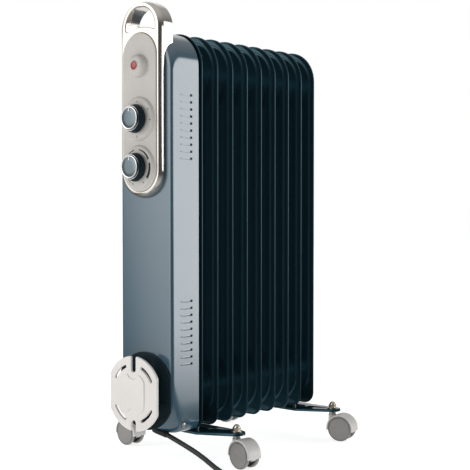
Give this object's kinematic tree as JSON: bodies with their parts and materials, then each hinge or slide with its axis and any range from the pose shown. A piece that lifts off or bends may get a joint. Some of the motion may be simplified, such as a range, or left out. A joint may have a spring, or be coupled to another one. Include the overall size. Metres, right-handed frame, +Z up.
{
  "type": "oil filled radiator heater",
  "caption": "Freestanding oil filled column radiator on twin-wheel casters, with ring handle, two control knobs, louvred control box and front cord winder",
  "frame": {"origin": "on the floor, under the centre of the heater's bounding box without its cord", "axes": "+X from the control box to the rear fin, +Y across to the left side seen from the control box, +Z up"},
  "size_m": [0.5125, 0.3926, 0.65],
  "materials": {
    "fin_paint": "glossy dark petrol enamel on steel sheet",
    "cover_paint": "glossy petrol-blue enamel on steel sheet",
    "panel_plastic": "warm light grey satin plastic",
    "nickel_trim": "warm polished nickel plating",
    "nut_nickel": "warm nickel plated steel",
    "knob_face_metal": "blue-grey satin metal",
    "dark_plastic": "glossy very dark petrol plastic",
    "ivory_plastic": "glossy off-white plastic",
    "red_lens": "translucent red plastic",
    "lamp_glass": "small neon lamp",
    "bakelite": "pale heat-resistant plastic",
    "zinc_steel": "zinc plated steel",
    "element_steel": "grey steel tube",
    "flange_brass": "plain brass",
    "caster_hood_plastic": "glossy pale grey plastic",
    "caster_wheel_plastic": "satin mid grey plastic",
    "black_cord": "black flexible cord sheath"
  },
  "bodies": {
    "heater": {"fin_1": "fin_paint", "fin_2": "fin_paint", "fin_3": "fin_paint", "fin_4": "fin_paint", "fin_5": "fin_paint", "fin_6": "fin_paint", "fin_7": "fin_paint", "fin_8": "fin_paint", "fin_9": "fin_paint", "heating_element": "element_steel", "element_flange": "flange_brass", "box_cover": "cover_paint", "box_back": "fin_paint", "control_panel": "panel_plastic", "handle_ring": "nickel_trim", "indicator_lens": "red_lens", "indicator_lamp": "lamp_glass", "thermostat": "bakelite", "selector_switch": "bakelite", "thermal_cutout": "dark_plastic", "terminal_block": "ivory_plastic", "panel_screws": "zinc_steel", "cover_screws": "zinc_steel", "cord_drum": "dark_plastic", "cord_plate": "ivory_plastic", "cord_plate_screws": "zinc_steel", "front_foot": "fin_paint", "rear_foot": "fin_paint", "foot_u_bolts": "zinc_steel", "foot_nuts": "zinc_steel", "caster_stems": "zinc_steel", "caster_cap_nuts": "nut_nickel", "cord_gland": "black_cord", "mains_cord": "black_cord", "cord_coil": "black_cord", "mains_plug": "black_cord"},
    "thermostat_knob": {"thermostat_spindle": "zinc_steel", "thermostat_knob": "dark_plastic", "thermostat_knob_trim": "nickel_trim", "thermostat_knob_face": "knob_face_metal"},
    "selector_knob": {"selector_spindle": "zinc_steel", "selector_knob": "dark_plastic", "selector_knob_trim": "nickel_trim", "selector_knob_face": "knob_face_metal"},
    "front_right_caster": {"front_right_hood": "caster_hood_plastic", "front_right_axle": "zinc_steel"},
    "front_right_wheel_a": {"front_right_wheel_a": "caster_wheel_plastic"},
    "front_right_wheel_b": {"front_right_wheel_b": "caster_wheel_plastic"},
    "front_left_caster": {"front_left_hood": "caster_hood_plastic", "front_left_axle": "zinc_steel"},
    "front_left_wheel_a": {"front_left_wheel_a": "caster_wheel_plastic"},
    "front_left_wheel_b": {"front_left_wheel_b": "caster_wheel_plastic"},
    "rear_right_caster": {"rear_right_hood": "caster_hood_plastic", "rear_right_axle": "zinc_steel"},
    "rear_right_wheel_a": {"rear_right_wheel_a": "caster_wheel_plastic"},
    "rear_right_wheel_b": {"rear_right_wheel_b": "caster_wheel_plastic"},
    "rear_left_caster": {"rear_left_hood": "caster_hood_plastic", "rear_left_axle": "zinc_steel"},
    "rear_left_wheel_a": {"rear_left_wheel_a": "caster_wheel_plastic"},
    "rear_left_wheel_b": {"rear_left_wheel_b": "caster_wheel_plastic"}
  },
  "joints": [
    {"name": "thermostat_turn", "type": "hinge", "parent": "heater", "child": "thermostat_knob", "pos_m": [-0.17, 0, 0.4196], "axis": [-1, 0, 0], "range_deg": [-270, 0]},
    {"name": "selector_turn", "type": "hinge", "parent": "heater", "child": "selector_knob", "pos_m": [-0.17, 0, 0.4867], "axis": [-1, 0, 0], "range_deg": [-180, 0]},
    {"name": "front_right_swivel", "type": "hinge", "parent": "heater", "child": "front_right_caster", "pos_m": [-0.074, -0.0995, 0.03], "axis": [0, 0, 1], "continuous": true},
    {"name": "front_right_wheel_a_roll", "type": "hinge", "parent": "front_right_caster", "child": "front_right_wheel_a", "pos_m": [-0.07612, -0.11556, 0.0195], "axis": [-0.9914, 0.1305, 0], "continuous": true},
    {"name": "front_right_wheel_b_roll", "type": "hinge", "parent": "front_right_caster", "child": "front_right_wheel_b", "pos_m": [-0.07612, -0.11556, 0.0195], "axis": [-0.9914, 0.1305, 0], "continuous": true},
    {"name": "front_left_swivel", "type": "hinge", "parent": "heater", "child": "front_left_caster", "pos_m": [-0.074, 0.0995, 0.03], "axis": [0, 0, 1], "continuous": true},
    {"name": "front_left_wheel_a_roll", "type": "hinge", "parent": "front_left_caster", "child": "front_left_wheel_a", "pos_m": [-0.07287, 0.11566, 0.0195], "axis": [0.9976, -0.0698, 0], "continuous": true},
    {"name": "front_left_wheel_b_roll", "type": "hinge", "parent": "front_left_caster", "child": "front_left_wheel_b", "pos_m": [-0.07287, 0.11566, 0.0195], "axis": [0.9976, -0.0698, 0], "continuous": true},
    {"name": "rear_right_swivel", "type": "hinge", "parent": "heater", "child": "rear_right_caster", "pos_m": [0.157, -0.0995, 0.03], "axis": [0, 0, 1], "continuous": true},
    {"name": "rear_right_wheel_a_roll", "type": "hinge", "parent": "rear_right_caster", "child": "rear_right_wheel_a", "pos_m": [0.16051, -0.11532, 0.0195], "axis": [-0.9763, -0.2164, 0], "continuous": true},
    {"name": "rear_right_wheel_b_roll", "type": "hinge", "parent": "rear_right_caster", "child": "rear_right_wheel_b", "pos_m": [0.16051, -0.11532, 0.0195], "axis": [-0.9763, -0.2164, 0], "continuous": true},
    {"name": "rear_left_swivel", "type": "hinge", "parent": "heater", "child": "rear_left_caster", "pos_m": [0.157, 0.0995, 0.03], "axis": [0, 0, 1], "continuous": true},
    {"name": "rear_left_wheel_a_roll", "type": "hinge", "parent": "rear_left_caster", "child": "rear_left_wheel_a", "pos_m": [0.15559, 0.11564, 0.0195], "axis": [0.9962, 0.0872, 0], "continuous": true},
    {"name": "rear_left_wheel_b_roll", "type": "hinge", "parent": "rear_left_caster", "child": "rear_left_wheel_b", "pos_m": [0.15559, 0.11564, 0.0195], "axis": [0.9962, 0.0872, 0], "continuous": true}
  ]
}
